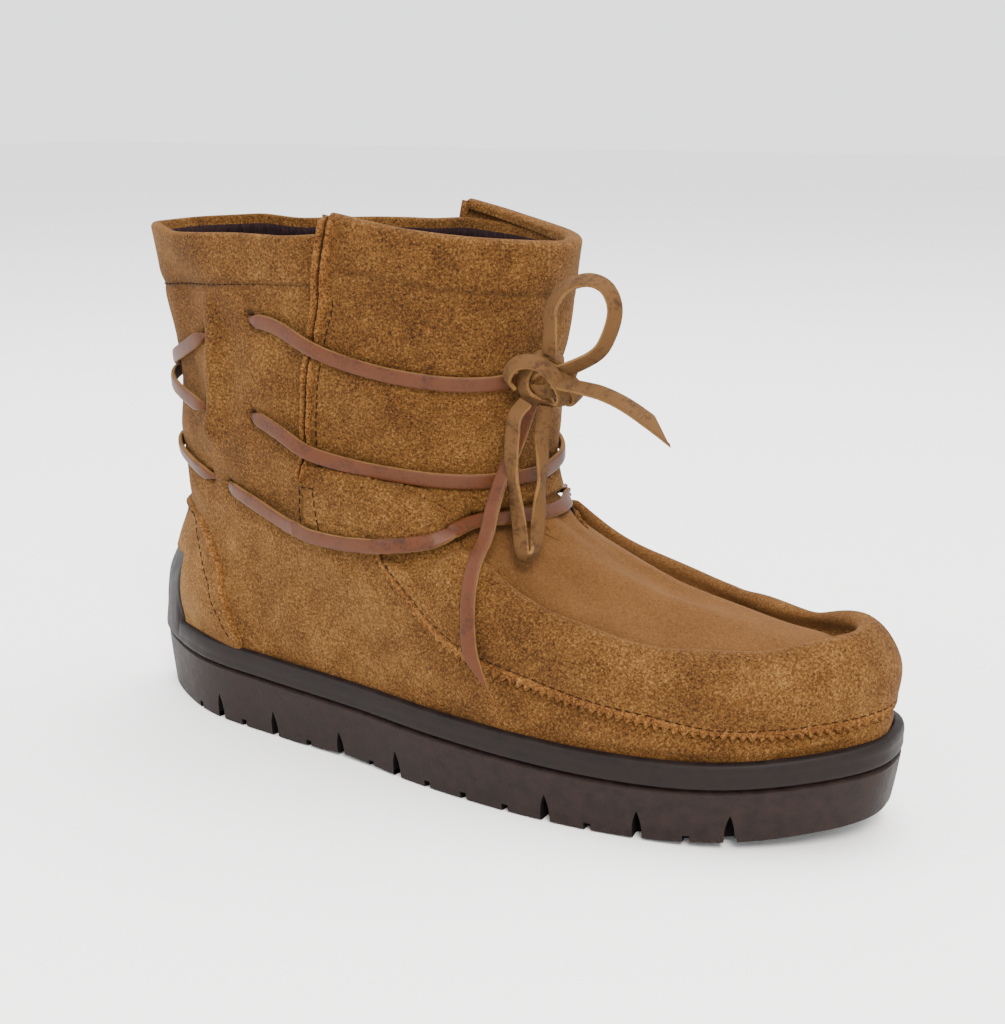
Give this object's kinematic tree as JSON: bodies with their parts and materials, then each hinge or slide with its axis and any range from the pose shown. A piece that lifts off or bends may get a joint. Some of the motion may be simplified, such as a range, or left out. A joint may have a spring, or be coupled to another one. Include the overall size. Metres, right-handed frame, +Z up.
{
  "type": "moccasin ankle boot",
  "caption": "Suede moccasin ankle boot for the right foot: hollow laced shaft with an open collar, raised apron seam and a thick rubber cup sole.",
  "frame": {"origin": "on the floor under the middle of the outsole's length, on the line that both its sides are measured from, where the mount sole_middle is", "axes": "+X from heel to toe, +Z up, the outer side of the right foot at -Y"},
  "size_m": [0.2759, 0.0986, 0.1787],
  "materials": {
    "sole_rubber": "fine leather-like grain, dull satin",
    "footbed": "matt woven",
    "suede": "napped suede",
    "lace": "smooth face, napped back"
  },
  "bodies": {
    "root": {"sole": "sole_rubber", "insole": "footbed", "upper": "suede", "rim_band": "suede", "moc_seam": "suede", "heel_counter": "suede", "shaft_front": "suede", "side_seam_lateral": "suede", "side_seam_medial": "suede", "lace_top_lateral": "lace", "lace_top_medial": "lace", "lace_middle": "lace", "lace_low": "lace", "lace_back_cross": "lace", "lace_back_low": "lace", "lace_knot": "lace", "lace_loop_upper": "lace", "lace_loop_hanging": "lace", "lace_end_side": "lace", "lace_end_front": "lace"}
  },
  "joints": []
}
